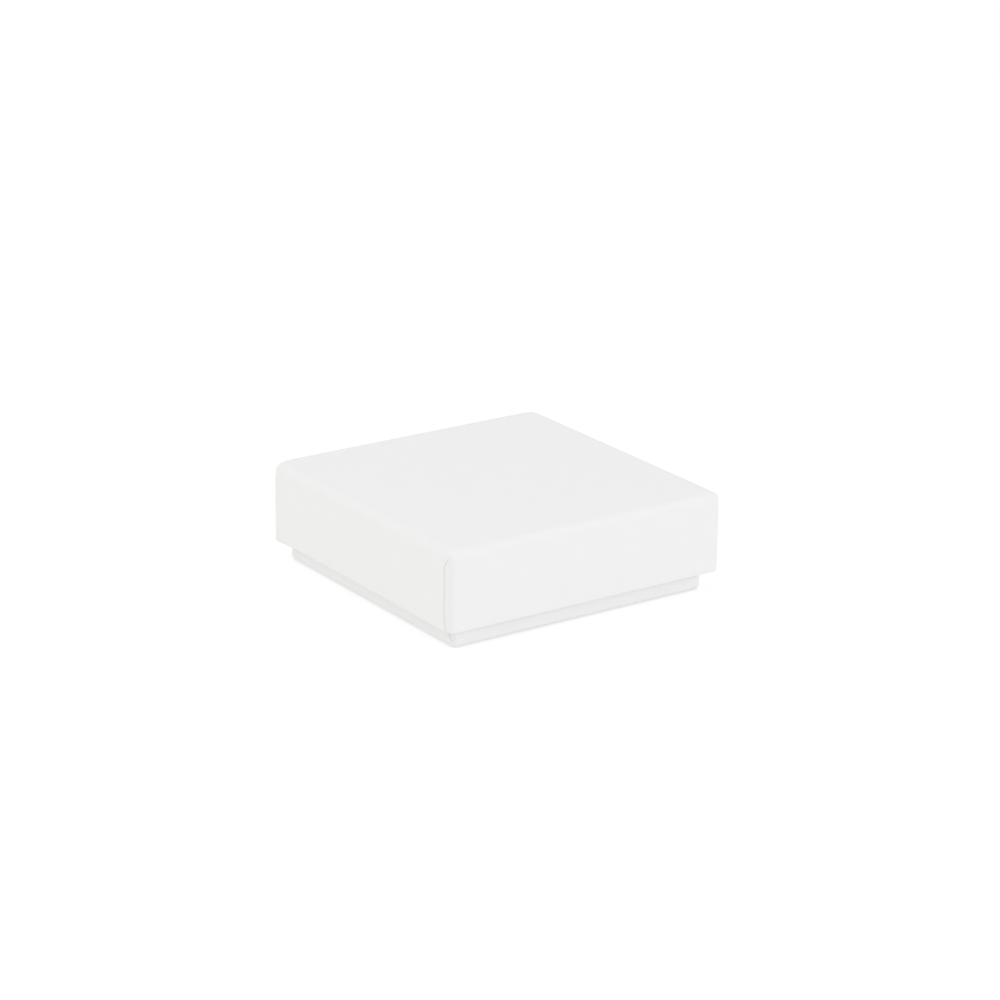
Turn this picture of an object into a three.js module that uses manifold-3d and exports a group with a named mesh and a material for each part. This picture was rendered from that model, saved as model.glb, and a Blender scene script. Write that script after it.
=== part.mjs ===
// A square two-piece gift box for jewellery: a rigid tray, a lift-off lid whose
// skirt hides most of the tray, and a velvet-covered foam insert with slits.
// Tray and lid are folded board, taped at the corners and wrapped in one sheet
// of paper each, which turns in over the rim. The part of the tray's sheet that
// is turned in is a mesh of its own.
//
// Millimetres, +Z up, origin at the centre of the underside.

import * as THREE from 'three';
import { mergeVertices } from 'three/addons/utils/BufferGeometryUtils.js';
import Module from 'manifold-3d';

const wasm = await Module();
wasm.setup();

// Driving dimensions
const LID_SIDE = 80;
const LID_HEIGHT = 20.4;
const REVEAL = 5.2; // tray showing below the lid
const TRAY_INSET = 3.1; // from the lid's outer face to the tray's
const BOARD = 1.8;
const PAPER = 0.25;
const GLUE_GAP = 0.3; // between board and wrap, where the corner tape lies
const TRAY_TURN_IN = 12; // paper folded over the rim and down inside
const LID_TURN_IN = 17.6; // reaches almost to the lid's liner
const TAPE = 0.1;
const TAPE_LEG = 9; // tape on each side of a corner
const TAPE_STOP = 1; // from the tape's end to the rim
const LID_TAPE_DROP = 6; // from the lid's top to the tape's other end
const LINER = 0.2;
const INSERT_TOP = 14.8; // height of the insert's face above the underside
const CARD = 1.2;
const PILE = 0.5; // thickness of the velvet
const PILE_TURN_IN = 8; // velvet folded under the card

// Clearances
const SLIP = 0.05; // between glued or resting layers
const INSERT_SLIP = 0.4; // round the insert, so that it lifts out

// Roundings of the outer faces
const LID_CORNER = 1.7;
const LID_EDGE = 2.0;
const LID_BOARD_EDGE = 2.8; // the creased board under the paper is rounder than the paper
const TRAY_CORNER = 1.3;
const TRAY_EDGE = 1.4;
const INSERT_CORNER = 1.4;
const INSERT_EDGE = 1.2;
const INNER_CORNER = 0.3; // smallest radius of a folded inside corner

// Slits in the insert
const RING_SLIT = { length: 26, width: 1.8, depth: 9, x: 0, y: -2, turn: 0 };
const CHAIN_SLIT = { length: 13, width: 1.4, depth: 7, offset: 23 };

// Worked out from the above
const TOTAL_HEIGHT = LID_HEIGHT + REVEAL;
const BOARD_INSET = PAPER + GLUE_GAP;
const WALL = BOARD_INSET + BOARD + SLIP + PAPER;
const TRAY_SIDE = LID_SIDE - 2 * TRAY_INSET;
const LINER_DEPTH = BOARD_INSET + BOARD + SLIP;
const PANEL = LINER_DEPTH + LINER; // full thickness of a floor or top
const TRAY_HEIGHT = TOTAL_HEIGHT - PANEL - SLIP;
const INSERT_SIDE = TRAY_SIDE - 2 * WALL - 2 * INSERT_SLIP;
const INSERT_BOTTOM = PANEL + SLIP;
const CARD_BOTTOM = INSERT_BOTTOM + PILE + SLIP;
const FOAM_BOTTOM = CARD_BOTTOM + CARD + SLIP;
const FOAM_INSET = PILE + SLIP;

const CORNER_STEPS = 5;
const EDGE_STEPS = 4;

function finish(color, roughness) {
  return new THREE.MeshStandardMaterial({ color, roughness, metalness: 0 });
}

const wrapPaper = finish(0xf1f1f0, 0.75);
const linerPaper = finish(0xefeeea, 0.85);
const greyboard = finish(0x9c9488, 0.95);
const kraftTape = finish(0xb98f5f, 0.8);
const foam = finish(0xe9e7e0, 1.0);
const velvet = finish(0xf0eee8, 0.95);

// Corners of a rounded square, anticlockwise seen from above, as [x, y].
function roundedSquare(side, radius) {
  const reach = side / 2 - radius;
  const points = [];
  for (let corner = 0; corner < 4; corner += 1) {
    const middle = (corner + 0.5) * Math.PI / 2;
    const x = Math.sign(Math.cos(middle)) * reach;
    const y = Math.sign(Math.sin(middle)) * reach;
    for (let step = 0; step <= CORNER_STEPS; step += 1) {
      const angle = (corner + step / CORNER_STEPS) * Math.PI / 2;
      points.push([x + radius * Math.cos(angle), y + radius * Math.sin(angle)]);
    }
  }
  return points;
}

// A closed body swept round a rounded square. The profile is a list of
// [inset from the square's side, z]. It starts on a flat face that looks down
// and ends on one that looks up, and both faces are filled in.
function squareBody(side, corner, profile) {
  const positions = [];
  const index = [];
  for (const [inset, z] of profile) {
    const radius = Math.max(corner - inset, INNER_CORNER);
    for (const [x, y] of roundedSquare(side - 2 * inset, radius)) positions.push(x, y, z);
  }
  const count = 4 * (CORNER_STEPS + 1);
  const last = profile.length - 1;
  for (let ring = 0; ring < last; ring += 1) {
    for (let k = 0; k < count; k += 1) {
      const next = (k + 1) % count;
      const a = ring * count + k;
      const b = ring * count + next;
      index.push(a, b, b + count, a, b + count, a + count);
    }
  }
  const middle = positions.length / 3;
  positions.push(0, 0, profile[0][1], 0, 0, profile[last][1]);
  for (let k = 0; k < count; k += 1) {
    const next = (k + 1) % count;
    index.push(middle, next, k);
    index.push(middle + 1, last * count + k, last * count + next);
  }
  const geometry = new THREE.BufferGeometry();
  geometry.setAttribute('position', new THREE.Float32BufferAttribute(positions, 3));
  geometry.setIndex(index);
  geometry.computeVertexNormals();
  return geometry;
}

// Rounded edge between a panel and its walls, a given offset inside the outer
// faces, as [inset, depth from the panel's outer face], from panel to wall.
function roundedEdge(offset, edge) {
  const radius = edge - offset;
  const points = [];
  for (let step = 0; step <= EDGE_STEPS; step += 1) {
    const angle = (step / EDGE_STEPS) * Math.PI / 2;
    points.push([edge - radius * Math.sin(angle), edge - radius * Math.cos(angle)]);
  }
  return points;
}

// Folded board: a panel and four walls that end just short of the wrap's rim.
function boardProfile(depth, edge) {
  const inside = BOARD_INSET + BOARD;
  const rim = depth - PAPER - SLIP;
  return [...roundedEdge(BOARD_INSET, edge), [BOARD_INSET, rim], [inside, rim], [inside, inside]];
}

// Wrapping paper: over the panel and walls, round the rim and down inside.
function wrapProfile(depth, edge, turnIn) {
  return [
    ...roundedEdge(0, edge),
    [0, depth],
    [WALL, depth],
    [WALL, depth - turnIn],
    [WALL - PAPER, depth - turnIn],
    [WALL - PAPER, depth - PAPER],
    [PAPER, depth - PAPER],
    ...roundedEdge(PAPER, edge).reverse(),
  ];
}

// The tray's wrapping paper up to the rim, without the part that turns in.
function outerWrapProfile(depth, edge) {
  return [
    ...roundedEdge(0, edge),
    [0, depth],
    [PAPER, depth],
    ...roundedEdge(PAPER, edge).reverse(),
  ];
}

// Velvet: over the foam's face and sides, and folded under the card.
function velvetProfile(depth) {
  return [
    ...roundedEdge(0, INSERT_EDGE),
    [0, depth],
    [PILE_TURN_IN, depth],
    [PILE_TURN_IN, depth - PILE],
    [PILE, depth - PILE],
    ...roundedEdge(PILE, INSERT_EDGE).reverse(),
  ];
}

// The same profile for a body whose panel is on top.
function upsideDown(profile, top) {
  return profile.map(([inset, depth]) => [inset, top - depth]).reverse();
}

// A flat sheet or block, its sides set in from those of a rounded square.
function slab(side, corner, bottom, top) {
  return squareBody(side, corner, [[0, bottom], [0, top]]);
}

// Tape folded round the upright corner at +X, +Y.
function cornerTape(side, corner, height) {
  const inner = BOARD_INSET - SLIP;
  const outer = inner - TAPE;
  const half = side / 2;
  const centre = half - corner;
  const leg = half - TAPE_LEG;
  const shape = new THREE.Shape();
  shape.moveTo(half - outer, leg);
  shape.lineTo(half - outer, centre);
  shape.absarc(centre, centre, corner - outer, 0, Math.PI / 2, false);
  shape.lineTo(leg, half - outer);
  shape.lineTo(leg, half - inner);
  shape.lineTo(centre, half - inner);
  shape.absarc(centre, centre, corner - inner, Math.PI / 2, 0, true);
  shape.lineTo(half - inner, leg);
  shape.closePath();
  return new THREE.ExtrudeGeometry(shape, {
    depth: height,
    bevelEnabled: false,
    curveSegments: CORNER_STEPS,
  });
}

// An upright band that follows a rounded square, between two insets from it.
function squareBand(side, corner, outer, inner, bottom, top) {
  const block = slab(side - 2 * outer, Math.max(corner - outer, INNER_CORNER), bottom, top);
  const hole = slab(side - 2 * inner, Math.max(corner - inner, INNER_CORNER), bottom - 1, top + 1);
  return toManifold(block).subtract(toManifold(hole));
}

// The tray's paper where it folds over the rim and goes down inside.
function turnedInPaper(side, corner, height, turnIn) {
  const rim = squareBand(side, corner, PAPER + SLIP, WALL, height - PAPER, height);
  const flap = squareBand(side, corner, WALL - PAPER, WALL, height - turnIn, height);
  return toGeometry(rim.add(flap));
}

// Cutter for a slit with round ends, open at the insert's face.
function slitCutter({ length, width, depth, x, y, turn }) {
  const radius = width / 2;
  const reach = length / 2 - radius;
  const shape = new THREE.Shape();
  shape.moveTo(-reach, -radius);
  shape.lineTo(reach, -radius);
  shape.absarc(reach, 0, radius, -Math.PI / 2, Math.PI / 2, false);
  shape.lineTo(-reach, radius);
  shape.absarc(-reach, 0, radius, Math.PI / 2, 3 * Math.PI / 2, false);
  const cutter = new THREE.ExtrudeGeometry(shape, {
    depth: depth + 1,
    bevelEnabled: false,
    curveSegments: EDGE_STEPS,
  });
  cutter.rotateZ(turn);
  cutter.translate(x, y, INSERT_TOP - depth);
  return cutter;
}

function toManifold(geometry) {
  const bare = geometry.clone();
  bare.deleteAttribute('normal');
  bare.deleteAttribute('uv');
  const merged = mergeVertices(bare, 1e-4);
  const vertProperties = new Float32Array(merged.attributes.position.array);
  const triVerts = new Uint32Array(merged.index.array);
  return new wasm.Manifold(new wasm.Mesh({ numProp: 3, vertProperties, triVerts }));
}

function toGeometry(manifold) {
  const { vertProperties, triVerts } = manifold.getMesh();
  const geometry = new THREE.BufferGeometry();
  geometry.setAttribute('position', new THREE.BufferAttribute(vertProperties, 3));
  geometry.setIndex(new THREE.BufferAttribute(triVerts, 1));
  geometry.computeVertexNormals();
  return geometry;
}

// One slit across the middle for a ring, and one near each rear corner for a
// chain to pass down through.
function insertSlits() {
  const { offset, ...size } = CHAIN_SLIT;
  return [
    RING_SLIT,
    { ...size, x: offset, y: offset, turn: -Math.PI / 4 },
    { ...size, x: -offset, y: offset, turn: Math.PI / 4 },
  ];
}

function withSlits(geometry) {
  let body = toManifold(geometry);
  for (const slit of insertSlits()) body = body.subtract(toManifold(slitCutter(slit)));
  return toGeometry(body);
}

const group = new THREE.Group();

function add(name, geometry, material) {
  const mesh = new THREE.Mesh(geometry, material);
  mesh.name = name;
  group.add(mesh);
  return mesh;
}

function addCornerTapes(prefix, side, corner, bottom, top) {
  for (let k = 0; k < 4; k += 1) {
    const tape = add(`${prefix}_corner_stay_${k + 1}`, cornerTape(side, corner, top - bottom), kraftTape);
    tape.position.z = bottom;
    tape.rotation.z = k * Math.PI / 2;
  }
}

function addTray() {
  const liner = TRAY_SIDE - 2 * LINER_DEPTH;
  const board = boardProfile(TRAY_HEIGHT, TRAY_EDGE);
  const wrap = outerWrapProfile(TRAY_HEIGHT, TRAY_EDGE);
  const turnIn = turnedInPaper(TRAY_SIDE, TRAY_CORNER, TRAY_HEIGHT, TRAY_TURN_IN);
  add('base_board', squareBody(TRAY_SIDE, TRAY_CORNER, board), greyboard);
  addCornerTapes('base', TRAY_SIDE, TRAY_CORNER, TRAY_EDGE + TAPE, TRAY_HEIGHT - TAPE_STOP);
  add('base_wrap', squareBody(TRAY_SIDE, TRAY_CORNER, wrap), wrapPaper);
  add('base_turn_in', turnIn, wrapPaper);
  add('base_liner', slab(liner, INNER_CORNER, LINER_DEPTH, PANEL), linerPaper);
}

function addLid() {
  const liner = LID_SIDE - 2 * LINER_DEPTH;
  const board = upsideDown(boardProfile(LID_HEIGHT, LID_BOARD_EDGE), TOTAL_HEIGHT);
  const wrap = upsideDown(wrapProfile(LID_HEIGHT, LID_EDGE, LID_TURN_IN), TOTAL_HEIGHT);
  add('lid_board', squareBody(LID_SIDE, LID_CORNER, board), greyboard);
  addCornerTapes('lid', LID_SIDE, LID_CORNER, REVEAL + TAPE_STOP, TOTAL_HEIGHT - LID_TAPE_DROP);
  add('lid_wrap', squareBody(LID_SIDE, LID_CORNER, wrap), wrapPaper);
  add('lid_liner', slab(liner, INNER_CORNER, TOTAL_HEIGHT - PANEL, TOTAL_HEIGHT - LINER_DEPTH), linerPaper);
}

function addInsert() {
  const cardSide = INSERT_SIDE - 2 * FOAM_INSET;
  const corner = INSERT_CORNER - FOAM_INSET;
  const foamEdge = roundedEdge(FOAM_INSET, INSERT_EDGE);
  const foamProfile = upsideDown([...foamEdge, [FOAM_INSET, INSERT_TOP - FOAM_BOTTOM]], INSERT_TOP);
  const velvetShell = upsideDown(velvetProfile(INSERT_TOP - INSERT_BOTTOM), INSERT_TOP);
  add('insert_card', slab(cardSide, corner, CARD_BOTTOM, CARD_BOTTOM + CARD), greyboard);
  add('insert_foam', withSlits(squareBody(INSERT_SIDE, INSERT_CORNER, foamProfile)), foam);
  add('insert_velvet', withSlits(squareBody(INSERT_SIDE, INSERT_CORNER, velvetShell)), velvet);
}

addTray();
addInsert();
addLid();

export default group;
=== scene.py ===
"""A closed two-piece paper gift box for jewelry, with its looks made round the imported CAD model.

Everything is in metres, in the model's own frame: +Z up, the origin under the middle of the tray.
"""

import math

import bmesh
import bpy
from mathutils import Matrix, Vector, noise
from mathutils.geometry import delaunay_2d_cdt


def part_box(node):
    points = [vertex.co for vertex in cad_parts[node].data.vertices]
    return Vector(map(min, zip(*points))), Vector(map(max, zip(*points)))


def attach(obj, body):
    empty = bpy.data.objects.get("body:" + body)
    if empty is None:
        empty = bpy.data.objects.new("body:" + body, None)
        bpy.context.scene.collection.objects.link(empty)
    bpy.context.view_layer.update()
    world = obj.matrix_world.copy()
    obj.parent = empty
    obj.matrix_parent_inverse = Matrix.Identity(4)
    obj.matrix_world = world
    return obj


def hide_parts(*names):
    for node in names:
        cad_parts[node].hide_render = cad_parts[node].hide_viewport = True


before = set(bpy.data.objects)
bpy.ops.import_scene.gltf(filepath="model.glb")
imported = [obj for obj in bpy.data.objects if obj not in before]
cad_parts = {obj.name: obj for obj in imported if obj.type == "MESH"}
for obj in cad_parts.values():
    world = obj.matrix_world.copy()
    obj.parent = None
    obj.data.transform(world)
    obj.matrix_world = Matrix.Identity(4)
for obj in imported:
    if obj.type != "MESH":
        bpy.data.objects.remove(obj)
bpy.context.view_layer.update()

MM = 0.001

# Camera, as directions round the box and distances in metres
CAMERA_AZIMUTH = math.radians(55.06)
CAMERA_ELEVATION = math.radians(19.26)
CAMERA_ROLL = math.radians(0.75)
CAMERA_DISTANCE = 0.8424
CAMERA_LENS_MM = 121.45
AIM_RIGHT = 1.65 * MM  # the point in the middle of the view, from the origin
AIM_UP = 18.32 * MM

# Stage. Each softbox has a direction from the box, a size, a power in watts and a color
FLOOR_HALF = 6  # metres from the middle of the floor to its sides
FLOOR_CLOUD = 0.4  # metres across the faint clouds in the floor's paint
SKY = 0.88
FLOOR_GLOW = 0.75
CONTACT_SHADOW_REACH = 1.0 * MM  # how near the box the floor's glow is darkened into a painted contact shadow
# colour of the floor's glow at the contact: painted contact shadow
CONTACT_SHADOW_GLOW = (0.8, 0.8, 0.8)
SOFTBOX_DISTANCE = 1.0
SOFTBOXES = {
    "softbox_left": ((-0.573, -0.819, 0.532), 0.3, 0.9, (1.0, 1.0, 0.83)),
    "softbox_right": ((0.894, 0.447, 0.466), 0.3, 1.18, (1.0, 1.0, 1.0)),
    "softbox_front": ((0.821, -0.571, 0.466), 0.3, 0.28, (1.0, 1.0, 1.0)),
    "softbox_top": ((0.1, -0.2, 1.0), 0.9, 1.3, (0.92, 0.92, 1.0)),
}

# Wrapping paper
PAPER = 0.12 * MM
WALL = 2.65 * MM  # board with paper on both sides
LID_CORNER = 1.7 * MM  # roundings of the upright corners, and of the edges between panel and walls
LID_EDGE = 2.0 * MM
TRAY_CORNER = 1.3 * MM
TRAY_EDGE = 1.4 * MM
LID_TURN_IN = 17.6 * MM  # paper that goes down inside from the rim
TRAY_TURN_IN = 12 * MM
LID_BOW = 0.1 * MM  # how far the middle of a wall pulls in at the rim
TRAY_BOW = 0.05 * MM
LAP_STEP = 0.13 * MM  # a lapped panel stands this proud of the paper under it
LAP_GROOVE = 0.08 * MM  # shadow gap along the cut edge
GROOVE_WIDTH = 0.3 * MM
SEAM_REACH = 2.4 * MM  # from the middle of a corner to the cut edge, round the outline
SEAM_START = 0.7 * MM  # depth below the panel at which the cut begins
SEAM_RISE = 1.6 * MM  # depth over which the lapped panel comes to stand proud
SEAM_SLANT = 0.7  # how fast the cut runs out from the corner where it begins
SEAM_LEAST = 0.25 * MM
SEAM_RETURN = 1.0 * MM  # how far the cut runs back towards the corner at the rim
SEAM_RETURN_FROM = 0.78  # share of the wall's height
RIM_ROUNDING = 0.35 * MM
SHARPEST_CORNER = 0.3 * MM
FLAT_WITHIN = 1e-14  # a quad is flat when its corners span less than this, in cubic metres

# How handling has softened the lid's corners: the corner's sides in x and y, how far the point where
# three faces meet is pressed in, and how much lower the rim hangs there
LID_CORNERS = (
    (-1, -1, 0.62 * MM, 0.5 * MM),
    (1, -1, 0.25 * MM, 0.0),
    (1, 1, 0.15 * MM, 0.0),
    (-1, 1, 0.35 * MM, 0.1 * MM),
)
PRESS_REACH = 5 * MM
DROOP_REACH = 15 * MM
WAVE = 0.025 * MM  # how uneven a panel is


# ---------------------------------------------------------------- meshes

def make_object(name, bm, smooth_angle=38):
    bmesh.ops.recalc_face_normals(bm, faces=bm.faces)
    mesh = bpy.data.meshes.new(name)
    bm.to_mesh(mesh)
    bm.free()
    mesh.shade_smooth()
    mesh.set_sharp_from_angle(angle=math.radians(smooth_angle))
    obj = bpy.data.objects.new(name, mesh)
    bpy.context.scene.collection.objects.link(obj)
    return obj


def bridge(bm, first, second):
    """Quads between two closed loops with the same number of vertices."""
    count = len(first)
    for k in range(count):
        after = (k + 1) % count
        bm.faces.new((first[k], first[after], second[after], second[k]))


def fan(bm, loop, middle):
    for k in range(len(loop)):
        bm.faces.new((loop[k], loop[(k + 1) % len(loop)], middle))


def smooth_step(x):
    x = min(max(x, 0.0), 1.0)
    return x * x * (3 - 2 * x)


# ---------------------------------------------------------------- paper wraps

# Where the rings of a wrap have their points, as shares of each stretch, and where its rings lie
EAR_STATIONS = (0.0, 0.2, 0.4, 0.6, 0.78, 0.9, 0.955, 0.985, 1.0)
PANEL_STATIONS = (0.0009, 0.003, 0.008, 0.02, 0.045, 0.09, 0.16, 0.26, 0.4, 0.6, 0.8, 1.0)
ARC_STATIONS = (0.17, 0.34, 0.5, 0.67, 0.84, 1.0)
PLAIN_STATIONS = (0.012, 0.04, 0.1, 0.2, 0.35, 0.55, 0.78, 1.0)
PANEL_INSETS_MM = (33, 26, 19, 13, 8.5, 5.5, 3.6, 2.6)
WALL_STATIONS = (0.04, 0.08, 0.13, 0.2, 0.32, 0.48, 0.64, 0.78, 0.87, 0.94, 1.0)
GLUED_PANEL_INSET = 8.5 * MM
EDGE_STEPS = 8
RIM_STEPS = 4
WAVE_SPACING = 14 * MM


def seam_reach(depth, height):
    """How far round the outline from the corner's middle the cut edge lies, at a depth below the panel."""
    opening = SEAM_SLANT * (depth - SEAM_START)
    near_rim = max(0.0, (depth / height - SEAM_RETURN_FROM) / (1 - SEAM_RETURN_FROM))
    closing = SEAM_REACH - SEAM_RETURN * near_rim ** 2
    return max(SEAM_LEAST, min(opening, closing))


def seam_step(depth):
    """How far the lapped panel stands proud, which grows from nothing where the cut begins."""
    return smooth_step((depth - SEAM_START) / SEAM_RISE)


def outline_point(reach, half, corner, side, recess):
    """A point at a distance round the outline from the middle of the corner at +X, -Y.
    side is -1 towards the -Y side and +1 towards the +X side."""
    arc = corner * math.pi / 4
    centre = half - corner
    turn = math.pi / 4 * (1 + side * min(reach / arc, 1.0))  # 0 faces -Y, a quarter turn faces +X
    along = max(reach - arc, 0.0)
    sunk = recess * (1 - turn / (math.pi / 2))
    x = centre + (corner - sunk) * math.sin(turn) - (along if side < 0 else 0.0)
    y = -centre - (corner - sunk) * math.cos(turn) + (along if side > 0 else 0.0)
    return x, y


def quarter_outline(half, corner, reach, step):
    """Points from the middle of the -Y side round the corner to the middle of the +X side.
    The -Y panel laps over the paper that comes round the corner, and its cut edge is at reach."""
    arc = corner * math.pi / 4
    length = arc + half - corner
    reach = min(reach, 0.5 * length)
    points = []
    for share in reversed(PANEL_STATIONS):
        points.append(outline_point(reach + share * (length - reach), half, corner, -1, 0.0))
    for share in reversed(EAR_STATIONS):
        gap = (1 - share) * reach
        groove = LAP_GROOVE * math.exp(-(gap / GROOVE_WIDTH) ** 2)
        points.append(outline_point(share * reach, half, corner, -1, step * (LAP_STEP + groove)))
    for share in ARC_STATIONS:
        points.append(outline_point(share * arc, half, corner, 1, step * LAP_STEP))
    for share in PLAIN_STATIONS:
        points.append(outline_point(arc + share * (length - arc), half, corner, 1, 0.0))
    return points


def full_outline(half, corner, reach, step):
    """The whole outline: the same quarter, mirrored and turned, so both Y sides lap over."""
    quarter = quarter_outline(half, corner, reach, step)
    mirrored = [(x, -y) for x, y in reversed(quarter)]
    half_round = quarter[:-1] + mirrored[:-1]
    return half_round + [(-x, -y) for x, y in half_round]


def wrap_profile(height, edge, turn_in):
    """(inset, depth, seam) from the middle of the panel, out, down the wall, round the rim and up inside,
    and back along the glued side. seam is how much of the lapped corner shows there."""
    panel = [(inset * MM, 0.0, 0.0) for inset in PANEL_INSETS_MM]
    rounding = []
    for k in range(EDGE_STEPS + 1):
        turn = math.pi / 2 * k / EDGE_STEPS
        rounding.append((edge * (1 - math.sin(turn)), edge * (1 - math.cos(turn)), 1.0))
    down = [(0.0, edge + (height - RIM_ROUNDING - edge) * share, 1.0) for share in WALL_STATIONS]
    rim = []
    for k in range(1, RIM_STEPS + 1):
        turn = math.pi / 2 * k / RIM_STEPS
        inset = RIM_ROUNDING * (1 - math.cos(turn))
        rim.append((inset, height - RIM_ROUNDING * (1 - math.sin(turn)), 1.0))
    inner_rim = []
    for k in range(RIM_STEPS + 1):
        turn = math.pi / 2 * k / RIM_STEPS
        inset = WALL - RIM_ROUNDING * (1 - math.sin(turn))
        inner_rim.append((inset, height - RIM_ROUNDING * (1 - math.cos(turn)), 0.0))
    inside = [(WALL, height - turn_in * share, 0.0) for share in (0.2, 0.5, 0.8, 1.0)]
    glued = [
        (WALL - PAPER, height - turn_in, 0.0),
        (WALL - PAPER, height - RIM_ROUNDING, 0.0),
        (WALL - RIM_ROUNDING, height - PAPER, 0.0),
        (RIM_ROUNDING + PAPER, height - PAPER, 1.0),
        (PAPER, height - RIM_ROUNDING, 1.0),
    ]
    glued += [(PAPER, depth, 1.0) for _, depth, _ in reversed(down[:-1])]
    glued_edge = edge - PAPER
    for k in range(EDGE_STEPS, -1, -1):
        turn = math.pi / 2 * k / EDGE_STEPS
        glued.append((edge - glued_edge * math.sin(turn), edge - glued_edge * math.cos(turn), 1.0))
    glued.append((GLUED_PANEL_INSET, PAPER, 0.0))
    return panel + rounding + down + rim + inner_rim + inside + glued


def soften_corners(x, y, depth, half, height, corners):
    """Moves a point of a wrap by the way its corners have been handled. depth is below the panel."""
    for side_x, side_y, press, droop in corners:
        across = math.hypot(side_x * half - x, side_y * half - y)
        push = press * smooth_step(1 - math.hypot(across, depth) / PRESS_REACH) / math.sqrt(3)
        fall = droop * smooth_step(1 - across / DROOP_REACH) * smooth_step(depth / height)
        x -= side_x * push
        y -= side_y * push
        depth += push + fall
    return x, y, depth


def paper_wrap(name, node, corner, edge, turn_in, panel_up, bow, corners=()):
    """One sheet of paper round a board tray, with lapped corners."""
    low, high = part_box(node)
    half = (high.x - low.x) / 2
    height = high.z - low.z
    bm = bmesh.new()
    loops = []
    for inset, depth, seam in wrap_profile(height, edge, turn_in):
        radius = max(corner - inset, SHARPEST_CORNER)
        reach = seam_reach(depth, height)
        loop = []
        for x, y in full_outline(half - inset, radius, reach, seam * seam_step(depth)):
            pull = 1 - bow * smooth_step(depth / height) * side_middle(x, y, half) / half
            unevenness = WAVE * (1 - noise.noise(Vector((x, y, 0)) / WAVE_SPACING))
            wave = unevenness if depth == 0 else 0.0
            x, y, sunk = soften_corners(x * pull, y * pull, depth + wave, half, height, corners)
            loop.append(bm.verts.new((x, y, high.z - sunk if panel_up else low.z + sunk)))
        loops.append(loop)
    for first, second in zip(loops, loops[1:]):
        bridge(bm, first, second)
    for loop in (loops[0], loops[-1]):
        fan(bm, loop, bm.verts.new((0, 0, loop[0].co.z)))
    bmesh.ops.triangulate(bm, faces=[f for f in bm.faces if len(f.verts) == 4 and not flat(f)])
    return make_object(name, bm)


def side_middle(x, y, half):
    """1 in the middle of a side and 0 at the corners."""
    across = min(abs(x), abs(y)) / half
    return max(0.0, 1 - across * across)


def flat(face):
    """Whether a quad's four corners lie in one plane."""
    a, b, c, d = (v.co for v in face.verts)
    normal = (b - a).cross(c - a)
    return abs(normal.dot(d - a)) < FLAT_WITHIN


# ---------------------------------------------------------------- materials

def new_material(name):
    material = bpy.data.materials.new(name)
    material.use_nodes = True
    nodes = material.node_tree.nodes
    return material, nodes, material.node_tree.links, nodes["Principled BSDF"]


def add_node(nodes, kind, **values):
    node = nodes.new(kind)
    for key, value in values.items():
        if key in node.inputs:
            node.inputs[key].default_value = value
        else:
            setattr(node, key, value)
    return node


def texture_place(nodes, links, stretch=(1, 1, 1)):
    place = add_node(nodes, "ShaderNodeTexCoord")
    mapping = add_node(nodes, "ShaderNodeMapping")
    mapping.inputs["Scale"].default_value = stretch
    links.new(place.outputs["Object"], mapping.inputs["Vector"])
    return mapping.outputs["Vector"]


def noise_at(nodes, links, place, size, detail=4.0, roughness=0.6):
    """Noise whose features are about size metres across."""
    texture = add_node(nodes, "ShaderNodeTexNoise", Scale=1 / size, Detail=detail, Roughness=roughness)
    links.new(place, texture.inputs["Vector"])
    return texture.outputs["Fac"]


def mixed_noise(nodes, links, first, share, second):
    """A sum of two noises: a share of the first, and the rest from the second."""
    total = add_node(nodes, "ShaderNodeMath", operation="MULTIPLY_ADD")
    total.inputs[1].default_value = share
    links.new(first, total.inputs[0])
    rest = add_node(nodes, "ShaderNodeMath", operation="MULTIPLY")
    rest.inputs[1].default_value = 1 - share
    links.new(second, rest.inputs[0])
    links.new(rest.outputs[0], total.inputs[2])
    return total.outputs[0]


def shade_ramp(nodes, links, value, dark, light, low=0.3, high=0.7):
    ramp = add_node(nodes, "ShaderNodeValToRGB")
    ramp.color_ramp.elements[0].position = low
    ramp.color_ramp.elements[0].color = (*dark, 1)
    ramp.color_ramp.elements[1].position = high
    ramp.color_ramp.elements[1].color = (*light, 1)
    links.new(value, ramp.inputs["Fac"])
    return ramp.outputs["Color"]


def add_bump(nodes, links, shader, value, distance, strength=1.0, before=None):
    bump = add_node(nodes, "ShaderNodeBump", Strength=strength, Distance=distance)
    links.new(value, bump.inputs["Height"])
    if before is not None:
        links.new(before, bump.inputs["Normal"])
    links.new(bump.outputs["Normal"], shader.inputs["Normal"])
    return bump.outputs["Normal"]


def paper_material(name, dark, light, roughness, grain, relief):
    """Matte paper: faint cloudy formation, fine fibres and a slight tooth."""
    material, nodes, links, shader = new_material(name)
    place = texture_place(nodes, links)
    long_fibres = texture_place(nodes, links, stretch=(1, 0.22, 0.6))
    clouds = noise_at(nodes, links, place, 5 * MM, detail=3)
    fibres = noise_at(nodes, links, long_fibres, grain, detail=5, roughness=0.7)
    texture = mixed_noise(nodes, links, fibres, 0.45, clouds)
    color = shade_ramp(nodes, links, texture, dark, light)
    links.new(color, shader.inputs["Base Color"])
    shader.inputs["Roughness"].default_value = roughness
    shader.inputs["Specular IOR Level"].default_value = 0.3
    tooth = add_bump(nodes, links, shader, fibres, relief)
    add_bump(nodes, links, shader, clouds, relief * 2, before=tooth)
    return material


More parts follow.
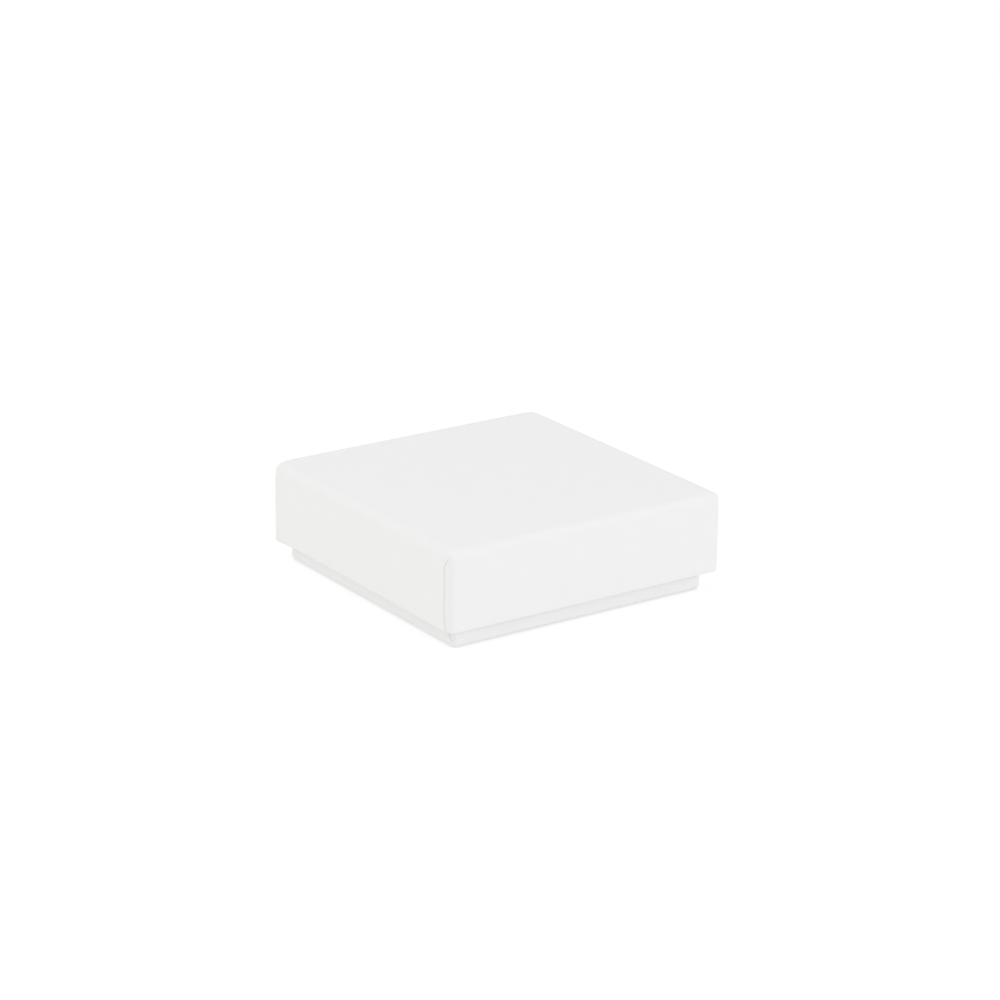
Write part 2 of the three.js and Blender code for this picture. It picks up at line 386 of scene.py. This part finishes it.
def greyboard_material():
    """Recycled board: grey-brown, with pale and dark flecks."""
    material, nodes, links, shader = new_material("greyboard")
    place = texture_place(nodes, links)
    pulp = noise_at(nodes, links, place, 1.6 * MM, detail=6, roughness=0.7)
    color = shade_ramp(nodes, links, pulp, (0.24, 0.215, 0.185), (0.42, 0.39, 0.345))
    flecks = add_node(nodes, "ShaderNodeTexVoronoi", Scale=1 / (0.9 * MM))
    links.new(place, flecks.inputs["Vector"])
    mask = shade_ramp(nodes, links, flecks.outputs["Distance"], (0.55, 0.5, 0.44), (1, 1, 1), 0.08, 0.22)
    mix = add_node(nodes, "ShaderNodeMix", data_type="RGBA", blend_type="MULTIPLY")
    mix.inputs[0].default_value = 0.8
    links.new(color, mix.inputs[6])
    links.new(mask, mix.inputs[7])
    links.new(mix.outputs[2], shader.inputs["Base Color"])
    shader.inputs["Roughness"].default_value = 0.95
    add_bump(nodes, links, shader, pulp, 0.05 * MM)
    return material


def kraft_material():
    """Brown gummed tape with long fibres."""
    material, nodes, links, shader = new_material("kraft_tape")
    place = texture_place(nodes, links, stretch=(1, 1, 0.18))
    fibres = noise_at(nodes, links, place, 0.7 * MM, detail=6, roughness=0.7)
    color = shade_ramp(nodes, links, fibres, (0.36, 0.21, 0.09), (0.56, 0.36, 0.18))
    links.new(color, shader.inputs["Base Color"])
    shader.inputs["Roughness"].default_value = 0.7
    add_bump(nodes, links, shader, fibres, 0.02 * MM)
    return material


def foam_material():
    """Open-cell foam: pores in a pale body."""
    material, nodes, links, shader = new_material("foam")
    place = texture_place(nodes, links)
    cells = add_node(nodes, "ShaderNodeTexVoronoi", Scale=1 / (0.55 * MM))
    links.new(place, cells.inputs["Vector"])
    pores = cells.outputs["Distance"]
    color = shade_ramp(nodes, links, pores, (0.62, 0.6, 0.55), (0.84, 0.83, 0.79), 0.1, 0.6)
    links.new(color, shader.inputs["Base Color"])
    shader.inputs["Roughness"].default_value = 1.0
    add_bump(nodes, links, shader, pores, 0.15 * MM)
    return material


def velvet_material():
    """Short ivory pile: soft mottling where it is brushed, a fine nap and a sheen at glancing angles."""
    material, nodes, links, shader = new_material("velvet")
    place = texture_place(nodes, links)
    brushed = noise_at(nodes, links, place, 9 * MM, detail=2)
    nap = noise_at(nodes, links, place, 0.4 * MM, detail=4, roughness=0.8)
    pile = mixed_noise(nodes, links, nap, 0.5, brushed)
    color = shade_ramp(nodes, links, pile, (0.72, 0.7, 0.66), (0.89, 0.875, 0.84), 0.38, 0.62)
    links.new(color, shader.inputs["Base Color"])
    shader.inputs["Roughness"].default_value = 0.95
    shader.inputs["Specular IOR Level"].default_value = 0.1
    shader.inputs["Sheen Weight"].default_value = 0.5
    shader.inputs["Sheen Roughness"].default_value = 0.45
    add_bump(nodes, links, shader, nap, 0.18 * MM)
    return material


def paint(obj, material):
    obj.data.materials.clear()
    obj.data.materials.append(material)


# ---------------------------------------------------------------- insert

CLOTH = 0.45 * MM
UNDER_REACH = 7.5 * MM
SLIT_LIP = 1.1 * MM  # rounding of the cloth where it turns down into a slit
SLIT_TUCK = 3.5 * MM  # how deep the cloth is tucked
SLIT_PINCH = 0.25 * MM  # how far each tucked wall leans in lower down
SLIT_DIP = 0.35 * MM  # how far the face is drawn down along a slit, and how far from it that is felt
SLIT_DIP_REACH = 3.2 * MM
FOAM_CUT = 8 * MM  # how deep the foam is slit
CROWN = 0.35 * MM  # how much lower the insert's face is at its edges than in the middle
CROWN_MOST = 1.4  # the dome's fall at a corner, as a multiple of that at an edge
FACE_WAVE = 0.04 * MM
FACE_WAVE_SPACING = 11 * MM
EDGE_DROP = CROWN * 1.1  # depth below the face's middle from which the edge is rounded
INSERT_EDGE = 1.6 * MM
INSERT_CORNER = 2.0 * MM
FACE_CORNER = INSERT_CORNER - INSERT_EDGE + 0.2 * MM  # a little rounder than the edge leaves it
LIP_STEPS = 6  # round a slit's lip and round the pad's edge
FACE_SPACING = 1.7 * MM  # between the face's points, and how clear they stay of its border and slits
BORDER_MARGIN = 0.8 * MM
SLIT_MARGIN = 0.6 * MM
LONG_SIDE_STEPS = 8  # stretches along a slit's side
WELL_MOUTH = 0.98  # faces nearer to a slit than this share of its lip are left out for the well
SAME_POINT = 1e-7  # metres within which the triangulation takes two points for one
HELD_BELOW = 0.95  # share of the pad's depth below which the cloth is held
SWELL = 0.4 * MM  # how far the stretched cloth bellies out at most
SWELL_SIDEWAYS = 0.3  # share of that which is kept across the face
SOLVER_SCALE = 20  # the cloth solver works best on a mesh of this many times the real size
SOLVER_PRESSURE = 4
SOLVER_FRAMES = 20
FOAM_GAP = 0.15 * MM  # from the top of the foam's CAD solid
FOAM_SIDE_GAP = 0.1 * MM
# Slits in the insert's face: middle x and y, length, width and turn
RING_SLIT = (0.0, -2 * MM, 26 * MM, 1.8 * MM, 0.0)
CHAIN_SLITS = (
    (23 * MM, 23 * MM, 13 * MM, 1.4 * MM, -math.pi / 4),
    (-23 * MM, 23 * MM, 13 * MM, 1.4 * MM, math.pi / 4),
)


def capsule(slit, offset, steps=8):
    """Points anticlockwise round a slit with round ends, offset outwards."""
    x, y, length, width, turn = slit
    radius = width / 2 + offset
    reach = (length - width) / 2
    points = []
    for side in (1, -1):
        for k in range(steps + 1):
            angle = -math.pi / 2 + math.pi * k / steps
            points.append((side * (reach + radius * math.cos(angle)), side * radius * math.sin(angle)))
        for k in range(1, LONG_SIDE_STEPS):
            points.append((side * reach * (1 - 2 * k / LONG_SIDE_STEPS), side * radius))
    cos, sin = math.cos(turn), math.sin(turn)
    return [(x + cos * px - sin * py, y + sin * px + cos * py) for px, py in points]


def rounded_square(half, radius, steps=6, along=12):
    """Points anticlockwise round a rounded square."""
    quarter = []
    for k in range(steps + 1):
        angle = math.pi / 2 * k / steps
        quarter.append((half - radius + radius * math.cos(angle), half - radius + radius * math.sin(angle)))
    for k in range(1, along):
        quarter.append(((half - radius) * (1 - 2 * k / along), half))
    points = []
    for corner in range(4):
        cos, sin = math.cos(corner * math.pi / 2), math.sin(corner * math.pi / 2)
        points += [(cos * x - sin * y, sin * x + cos * y) for x, y in quarter]
    return points


def crown_height(x, y, half, top):
    """The insert's face: slightly domed, and drawn down a little along the slits."""
    dome = (x / half) ** 4 + (y / half) ** 4
    pull = sum(slit_pull(x, y, slit) for slit in (RING_SLIT, *CHAIN_SLITS))
    wave = FACE_WAVE * (noise.noise(Vector((x, y, 0)) / FACE_WAVE_SPACING) - 1)
    return top - CROWN * min(dome, CROWN_MOST) - pull + wave


def from_slit(x, y, slit):
    """How far a point lies from a slit's middle, along it and across it."""
    sx, sy, _, _, turn = slit
    along = abs(math.cos(turn) * (x - sx) + math.sin(turn) * (y - sy))
    across = math.cos(turn) * (y - sy) - math.sin(turn) * (x - sx)
    return along, across


def slit_pull(x, y, slit):
    """How far the face is drawn down by a slit."""
    _, _, length, _, _ = slit
    along, across = from_slit(x, y, slit)
    away = math.hypot(max(along - length / 2, 0), across)
    return SLIT_DIP * math.exp(-(away / SLIT_DIP_REACH) ** 2)


def padded_face(bm, half, radius, top, tuck):
    """The domed face with a well for each slit. Returns its outer loop and the lowest loop of each well."""
    border = rounded_square(half, radius)
    flat_points = [Vector(p) for p in border]
    edges = [(k, (k + 1) % len(border)) for k in range(len(border))]
    holes = []
    for slit in (RING_SLIT, *CHAIN_SLITS):
        loop = capsule(slit, SLIT_LIP)
        first = len(flat_points)
        flat_points += [Vector(p) for p in loop]
        edges += [(first + k, first + (k + 1) % len(loop)) for k in range(len(loop))]
        holes.append((slit, first, len(loop)))
    steps = int(half / FACE_SPACING)
    for i in range(-steps, steps + 1):
        for j in range(-steps, steps + 1):
            x = i * FACE_SPACING
            y = (j + 0.5 * (i % 2)) * FACE_SPACING
            inside = max(abs(x), abs(y)) < half - BORDER_MARGIN
            if inside and not near_slit(x, y, SLIT_LIP + SLIT_MARGIN):
                flat_points.append(Vector((x, y)))
    made, _, faces, origin, _, _ = delaunay_2d_cdt(flat_points, edges, [], 0, SAME_POINT)
    verts = [bm.verts.new((p.x, p.y, crown_height(p.x, p.y, half, top))) for p in made]
    place = {old: new for new, olds in enumerate(origin) for old in olds}
    for face in faces:
        middle = sum((made[v] for v in face), Vector((0, 0))) / len(face)
        if not near_slit(middle.x, middle.y, SLIT_LIP * WELL_MOUTH):
            bm.faces.new([verts[v] for v in face])
    wells = [slit_well(bm, slit, [verts[place[first + k]] for k in range(count)], tuck)
             for slit, first, count in holes]
    for vert in [v for v in bm.verts if not v.link_faces]:
        bm.verts.remove(vert)
    return [verts[place[k]] for k in range(len(border))], wells


def near_slit(x, y, margin):
    """Whether a point lies inside a slit's outline or within margin of it."""
    for slit in (RING_SLIT, *CHAIN_SLITS):
        _, _, length, width, _ = slit
        along, across = from_slit(x, y, slit)
        if math.hypot(max(along - (length - width) / 2, 0), across) < width / 2 + margin:
            return True
    return False


def slit_well(bm, slit, loop, tuck):
    """Rolls the face down into the slit and tucks it in. The walls nearly meet lower down."""
    level = sum(v.co.z for v in loop) / len(loop)
    previous = loop
    rings = []
    for k in range(1, LIP_STEPS + 1):
        turn = math.pi / 2 * k / LIP_STEPS
        rings.append((SLIT_LIP * (1 - math.sin(turn)), SLIT_LIP * (1 - math.cos(turn))))
    for share in (0.33, 0.66, 1.0):
        rings.append((-SLIT_PINCH * share, SLIT_LIP + (tuck - SLIT_LIP) * share))
    for offset, depth in rings:
        ring = [bm.verts.new((x, y, level - depth)) for x, y in capsule(slit, offset)]
        bridge(bm, previous, ring)
        previous = ring
    return previous


def edge_rounding(radius):
    """(inset, depth below the face's middle) round the pad's edge, from the face's border to the side."""
    points = []
    for k in range(1, LIP_STEPS + 1):
        turn = math.pi / 2 * k / LIP_STEPS
        inset = radius * (1 - math.sin(turn))
        points.append((inset, EDGE_DROP + (radius - CROWN) * (1 - math.cos(turn))))
    return points


def outer_wall(bm, loop, half, radius, top, profile):
    """Carries the face's outer loop round the edge and down, by (inset, depth below the face's middle)."""
    previous = loop
    for inset, depth in profile:
        outline = rounded_square(half - inset, max(radius - inset, SHARPEST_CORNER))
        ring = [bm.verts.new((x, y, top - depth)) for x, y in outline]
        bridge(bm, previous, ring)
        previous = ring
    return previous


def swell(cover, held):
    """Lets the cloth belly out between the vertices where it is held, by cloth simulation."""
    mesh = cover.data
    start = [v.co.copy() for v in mesh.vertices]
    mesh.transform(Matrix.Scale(SOLVER_SCALE, 4))
    cover.vertex_groups.new(name="held").add(held, 1.0, "REPLACE")
    cloth = cover.modifiers.new("swell", "CLOTH")
    cloth.settings.quality = 8
    cloth.settings.vertex_group_mass = "held"
    cloth.settings.use_pressure = True
    cloth.settings.uniform_pressure_force = SOLVER_PRESSURE
    cloth.settings.effector_weights.gravity = 0
    for frame_number in range(1, SOLVER_FRAMES + 1):
        bpy.context.scene.frame_set(frame_number)
    swollen = cover.evaluated_get(bpy.context.evaluated_depsgraph_get()).data
    shifts = [v.co / SOLVER_SCALE - co for v, co in zip(swollen.vertices, start)]
    cover.modifiers.clear()
    cover.vertex_groups.clear()
    ease = SWELL / max(max(shift.length for shift in shifts), SWELL)
    for vert, co, shift in zip(mesh.vertices, start, shifts):
        shift *= ease
        vert.co = co + Vector((shift.x * SWELL_SIDEWAYS, shift.y * SWELL_SIDEWAYS, shift.z))
    bpy.context.scene.frame_set(1)


def velvet_cover():
    """Cloth over the pad's face and sides, tucked into the slits and turned under the card."""
    low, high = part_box("insert_velvet")
    half = (high.x - low.x) / 2 - CLOTH / 2
    top = high.z - CLOTH / 2 - SWELL
    depth = top - low.z - CLOTH / 2
    bm = bmesh.new()
    loop, _ = padded_face(bm, half - INSERT_EDGE, FACE_CORNER, top, SLIT_TUCK)
    side = [(0.0, depth * share) for share in (0.3, 0.5, 0.7, 0.9)]
    under = [(0.12 * MM, depth - 0.1 * MM), (0.5 * MM, depth), (3 * MM, depth), (UNDER_REACH, depth)]
    outer_wall(bm, loop, half, INSERT_CORNER, top, edge_rounding(INSERT_EDGE) + side + under)
    bmesh.ops.recalc_face_normals(bm, faces=bm.faces)
    bm.verts.index_update()
    held = [v.index for v in bm.verts if v.co.z < top - HELD_BELOW * depth or v.is_boundary]
    cover = make_object("velvet_cover", bm, smooth_angle=60)
    swell(cover, held)
    thickness = cover.modifiers.new("cloth", "SOLIDIFY")
    thickness.thickness = CLOTH
    thickness.offset = 0
    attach(cover, "insert")
    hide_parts("insert_velvet")
    return cover


def foam_pad():
    """The foam block under the velvet, with the same slits cut deeper."""
    low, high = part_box("insert_foam")
    half = (high.x - low.x) / 2 - FOAM_SIDE_GAP
    top = high.z - FOAM_GAP - SWELL
    depth = top - low.z
    edge = INSERT_EDGE - CLOTH
    bm = bmesh.new()
    loop, wells = padded_face(bm, half - edge, FACE_CORNER, top, FOAM_CUT)
    for well in wells:
        fan(bm, well, bm.verts.new(sum((v.co for v in well), Vector()) / len(well)))
    side = [(0.0, depth * share) for share in (0.35, 0.6, 0.85, 1.0)]
    last = outer_wall(bm, loop, half, INSERT_CORNER, top, edge_rounding(edge) + side)
    fan(bm, last, bm.verts.new((0, 0, low.z)))
    pad = make_object("foam_pad", bm, smooth_angle=60)
    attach(pad, "insert")
    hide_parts("insert_foam")
    return pad


# ---------------------------------------------------------------- stage

def aim_camera():
    """Places the camera by its directions round the box, with the origin below the middle of the view."""
    across = Vector((math.cos(CAMERA_AZIMUTH), math.sin(CAMERA_AZIMUTH), 0))
    level = math.cos(CAMERA_ELEVATION)
    back = Vector((math.sin(CAMERA_AZIMUTH) * level, -math.cos(CAMERA_AZIMUTH) * level,
                   math.sin(CAMERA_ELEVATION)))
    upward = back.cross(across)
    cos, sin = math.cos(CAMERA_ROLL), math.sin(CAMERA_ROLL)
    right = cos * across + sin * upward
    up = cos * upward - sin * across
    data = bpy.data.cameras.new("camera")
    data.lens = CAMERA_LENS_MM
    camera = bpy.data.objects.new("camera", data)
    bpy.context.scene.collection.objects.link(camera)
    turn = Matrix((right, up, back)).transposed().to_4x4()
    place = right * AIM_RIGHT + up * AIM_UP + back * CAMERA_DISTANCE
    camera.matrix_world = Matrix.Translation(place) @ turn
    bpy.context.scene.camera = camera


def softbox(name, direction, size, watts, color):
    data = bpy.data.lights.new(name, "AREA")
    data.shape = "SQUARE"
    data.size = size
    data.energy = watts
    data.color = color
    light = bpy.data.objects.new(name, data)
    bpy.context.scene.collection.objects.link(light)
    towards = Vector(direction).normalized()
    light.location = towards * SOFTBOX_DISTANCE
    light.rotation_euler = towards.to_track_quat("Z", "Y").to_euler()


def floor_material():
    """A pale floor lit from below, whose glow is darkened into a painted contact shadow where something
    stands on it.
    """
    material, nodes, links, shader = new_material("studio_floor")
    place = texture_place(nodes, links)
    cloud = noise_at(nodes, links, place, FLOOR_CLOUD, detail=1)
    color = shade_ramp(nodes, links, cloud, (0.27, 0.27, 0.27), (0.29, 0.29, 0.29))
    links.new(color, shader.inputs["Base Color"])
    shader.inputs["Roughness"].default_value = 0.9
    shader.inputs["Specular IOR Level"].default_value = 0.0
    # painted contact shadow: ambient occlusion darkens the floor's glow next to the box
    openness = add_node(nodes, "ShaderNodeAmbientOcclusion", Distance=CONTACT_SHADOW_REACH, samples=16)
    glow = shade_ramp(nodes, links, openness.outputs["AO"], CONTACT_SHADOW_GLOW, (1, 1, 1), 0.3, 0.75)
    links.new(glow, shader.inputs["Emission Color"])
    shader.inputs["Emission Strength"].default_value = FLOOR_GLOW
    return material


def studio():
    """A pale, lit floor under an even white sky, with softboxes that tell the faces apart."""
    bm = bmesh.new()
    bmesh.ops.create_grid(bm, x_segments=8, y_segments=8, size=FLOOR_HALF)
    floor = make_object("floor", bm)
    paint(floor, floor_material())
    world = bpy.data.worlds.new("studio")
    world.use_nodes = True
    world.node_tree.nodes["Background"].inputs["Color"].default_value = (1, 1, 1, 1)
    world.node_tree.nodes["Background"].inputs["Strength"].default_value = SKY
    bpy.context.scene.world = world
    for name, settings in SOFTBOXES.items():
        softbox(name, *settings)
    bpy.context.scene.view_settings.view_transform = "Standard"


# ---------------------------------------------------------------- assembly

def wrap_box():
    lid = paper_wrap("lid_paper", "lid_wrap", LID_CORNER, LID_EDGE, LID_TURN_IN,
                     panel_up=True, bow=LID_BOW, corners=LID_CORNERS)
    tray = paper_wrap("tray_paper", "base_wrap", TRAY_CORNER, TRAY_EDGE, TRAY_TURN_IN,
                      panel_up=False, bow=TRAY_BOW)
    wraps = (
        (lid, "lid", ["lid_wrap"]),
        (tray, "tray", ["base_wrap", "base_turn_in"]),
    )
    for piece, body, nodes in wraps:
        paint(piece, wrap_paper)
        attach(piece, body)
        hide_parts(*nodes)


wrap_paper = paper_material("wrap_paper", (0.79, 0.79, 0.79), (0.806, 0.806, 0.806),
                            roughness=0.62, grain=0.25 * MM, relief=0.006 * MM)
liner_paper = paper_material("liner_paper", (0.69, 0.685, 0.67), (0.74, 0.735, 0.72),
                             roughness=0.8, grain=0.4 * MM, relief=0.012 * MM)
aim_camera()
studio()
wrap_box()
paint(foam_pad(), foam_material())
paint(velvet_cover(), velvet_material())
board = greyboard_material()
tape = kraft_material()
for node_name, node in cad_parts.items():
    if "corner_stay" in node_name:
        paint(node, tape)
    elif "liner" in node_name:
        paint(node, liner_paper)
    elif "board" in node_name or "card" in node_name:
        paint(node, board)
